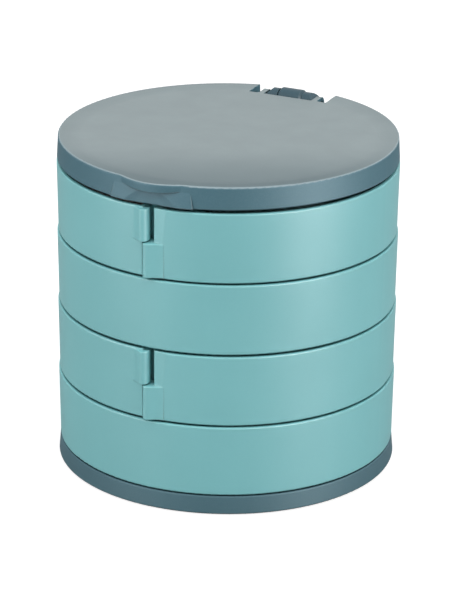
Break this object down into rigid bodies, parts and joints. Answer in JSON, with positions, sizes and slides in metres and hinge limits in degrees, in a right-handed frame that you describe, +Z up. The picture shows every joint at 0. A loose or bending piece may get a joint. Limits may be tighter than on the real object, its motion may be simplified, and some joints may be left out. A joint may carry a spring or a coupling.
{
  "type": "rotating jewelry box",
  "caption": "Round stacked jewellery box with swing-out half-round trays, a turning full-round tray, a fixed bottom tray and a flip-up mirror lid on a rear pivot rod",
  "frame": {"origin": "centre of the round base, on the plane that the box rests on", "axes": "+Z up; -Y is the front with the lid tab and the tray seams; +Y is the rear with the pivot rod and the lid hinge; +X is the right-hand side seen from the front"},
  "size_m": [0.1054, 0.1069, 0.1054],
  "materials": {
    "tray_plastic": "injection-moulded, mint teal, fine matte grain",
    "lid_plastic": "injection-moulded, grey teal, satin top face",
    "base_plastic": "injection-moulded, slate teal, fine matte grain",
    "hinge_plastic": "injection-moulded, dark teal, satin",
    "divider_plastic": "thin moulded strip, pale mint, satin",
    "washer_plastic": "natural white low-friction plastic",
    "rod_steel": "drawn steel rod, lightly brushed",
    "screw_steel": "nickel-plated steel screws",
    "pad_rubber": "dark grey foam rubber with fine pores",
    "mirror_glass": "silvered glass, ground edge",
    "foam_tape": "white double-sided foam tape",
    "cushion_velvet": "short-pile velvet over foam rolls, off-white"
  },
  "bodies": {
    "base": {"base_plate": "base_plastic", "anti_slip_pad": "pad_rubber", "pivot_rod": "rod_steel", "pivot_rod_screw": "screw_steel", "tray_4": "tray_plastic", "tray_4_screws": "screw_steel", "tray_4_divider_left": "divider_plastic", "tray_4_divider_right": "divider_plastic", "hub_washers": "washer_plastic", "hinge_block": "hinge_plastic", "hinge_block_screw": "screw_steel", "hinge_block_cap": "hinge_plastic", "lid_hinge_pins": "rod_steel"},
    "lid": {"lid_shell": "lid_plastic", "lid_mirror": "mirror_glass", "lid_mirror_bezel": "lid_plastic", "lid_mirror_adhesive": "foam_tape"},
    "tray_1_left": {"tray_1_left": "tray_plastic", "ring_cushion": "cushion_velvet"},
    "tray_1_right": {"tray_1_right": "tray_plastic", "tray_1_right_divider_front": "divider_plastic", "tray_1_right_divider_rear": "divider_plastic"},
    "tray_2": {"tray_2": "tray_plastic", "tray_2_divider_cross": "divider_plastic", "tray_2_divider_front": "divider_plastic", "tray_2_divider_rear": "divider_plastic"},
    "tray_3_left": {"tray_3_left": "tray_plastic", "tray_3_left_divider_front": "divider_plastic", "tray_3_left_divider_rear": "divider_plastic"},
    "tray_3_right": {"tray_3_right": "tray_plastic", "tray_3_right_divider_front": "divider_plastic", "tray_3_right_divider_rear": "divider_plastic"}
  },
  "joints": [
    {"name": "lid_hinge", "type": "hinge", "parent": "base", "child": "lid", "pos_m": [0, 0.046, 0.1017], "axis": [-1, 0, 0], "range_deg": [0, 105]},
    {"name": "tray_1_left_swing", "type": "hinge", "parent": "base", "child": "tray_1_left", "pos_m": [0, 0.046, 0.0853], "axis": [0, 0, -1], "range_deg": [0, 75]},
    {"name": "tray_1_right_swing", "type": "hinge", "parent": "base", "child": "tray_1_right", "pos_m": [0, 0.046, 0.0853], "axis": [0, 0, 1], "range_deg": [0, 75]},
    {"name": "tray_2_swivel", "type": "hinge", "parent": "base", "child": "tray_2", "pos_m": [0, 0.046, 0.0627], "axis": [0, 0, 1], "continuous": true},
    {"name": "tray_3_left_swing", "type": "hinge", "parent": "base", "child": "tray_3_left", "pos_m": [0, 0.046, 0.0401], "axis": [0, 0, -1], "range_deg": [0, 75]},
    {"name": "tray_3_right_swing", "type": "hinge", "parent": "base", "child": "tray_3_right", "pos_m": [0, 0.046, 0.0401], "axis": [0, 0, 1], "range_deg": [0, 75]}
  ]
}
